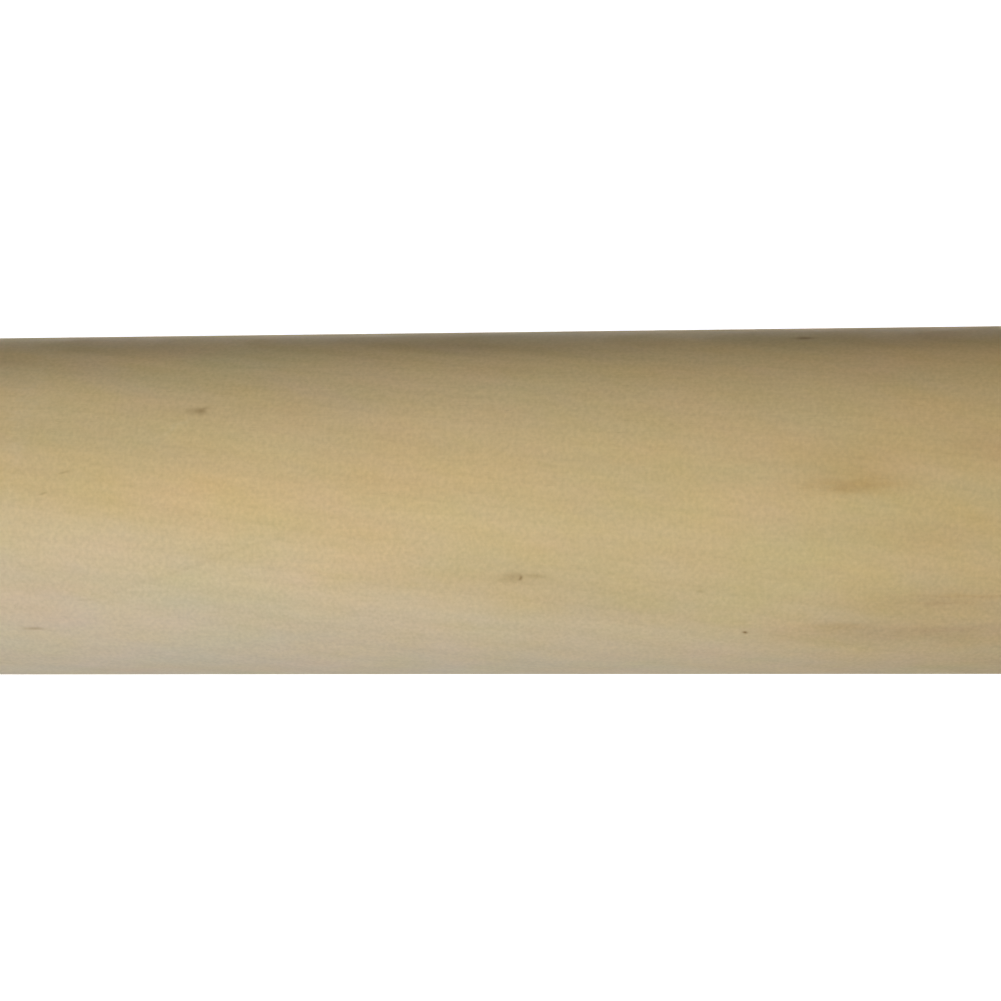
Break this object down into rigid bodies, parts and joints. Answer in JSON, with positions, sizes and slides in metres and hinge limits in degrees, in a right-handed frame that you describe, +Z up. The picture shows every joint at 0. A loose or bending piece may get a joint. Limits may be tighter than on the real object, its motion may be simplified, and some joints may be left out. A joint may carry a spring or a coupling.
{
  "type": "rolling pin",
  "caption": "Handled rolling pin: a turned wooden barrel that spins on ball bearings about a steel axle clamped between fixed wooden handles.",
  "frame": {"origin": "on the table under the middle of the barrel, in the middle of the strip that the barrel rests on", "axes": "+X along the axle towards the right-hand handle, +Z up from the table, -Y towards whoever looks at the pin as pictured"},
  "size_m": [0.4706, 0.07, 0.07],
  "materials": {
    "barrel_maple": "fine sanded maple, satin oil",
    "handle_maple": "turned maple, satin oil",
    "axle_steel": "ground steel bar",
    "bearing_steel": "polished bearing steel",
    "cage_nylon": "natural nylon",
    "cup_steel": "turned stainless steel",
    "shield_steel": "pressed stainless steel",
    "collar_steel": "turned stainless steel, satin",
    "fastener_steel": "polished stainless steel",
    "spring_steel": "phosphated spring steel"
  },
  "bodies": {
    "handles_and_axle": {"axle": "axle_steel", "inner_ring_left": "bearing_steel", "thrust_collar_left": "collar_steel", "handle_left": "handle_maple", "flat_washer_left": "fastener_steel", "spring_washer_left": "spring_steel", "cap_nut_left": "fastener_steel", "inner_ring_right": "bearing_steel", "thrust_collar_right": "collar_steel", "handle_right": "handle_maple", "flat_washer_right": "fastener_steel", "spring_washer_right": "spring_steel", "cap_nut_right": "fastener_steel"},
    "roller": {"barrel": "barrel_maple", "bearing_cup_left": "cup_steel", "outer_ring_left": "bearing_steel", "flour_shield_left": "shield_steel", "bearing_cup_right": "cup_steel", "outer_ring_right": "bearing_steel", "flour_shield_right": "shield_steel"},
    "cage_left": {"ball_cage_left": "cage_nylon", "ball_left_1": "bearing_steel", "ball_left_2": "bearing_steel", "ball_left_3": "bearing_steel", "ball_left_4": "bearing_steel", "ball_left_5": "bearing_steel", "ball_left_6": "bearing_steel", "ball_left_7": "bearing_steel", "ball_left_8": "bearing_steel"},
    "cage_right": {"ball_cage_right": "cage_nylon", "ball_right_1": "bearing_steel", "ball_right_2": "bearing_steel", "ball_right_3": "bearing_steel", "ball_right_4": "bearing_steel", "ball_right_5": "bearing_steel", "ball_right_6": "bearing_steel", "ball_right_7": "bearing_steel", "ball_right_8": "bearing_steel"}
  },
  "joints": [
    {"name": "barrel_spin", "type": "hinge", "parent": "handles_and_axle", "child": "roller", "pos_m": [0, 0, 0.035], "axis": [1, 0, 0], "continuous": true},
    {"name": "cage_left_orbit", "type": "hinge", "parent": "handles_and_axle", "child": "cage_left", "pos_m": [0, 0, 0.035], "axis": [1, 0, 0], "continuous": true},
    {"name": "cage_right_orbit", "type": "hinge", "parent": "handles_and_axle", "child": "cage_right", "pos_m": [0, 0, 0.035], "axis": [1, 0, 0], "continuous": true}
  ],
  "couplings": [
    {"joint": "cage_left_orbit", "follows": "barrel_spin", "ratio": 0.619},
    {"joint": "cage_right_orbit", "follows": "barrel_spin", "ratio": 0.619}
  ]
}
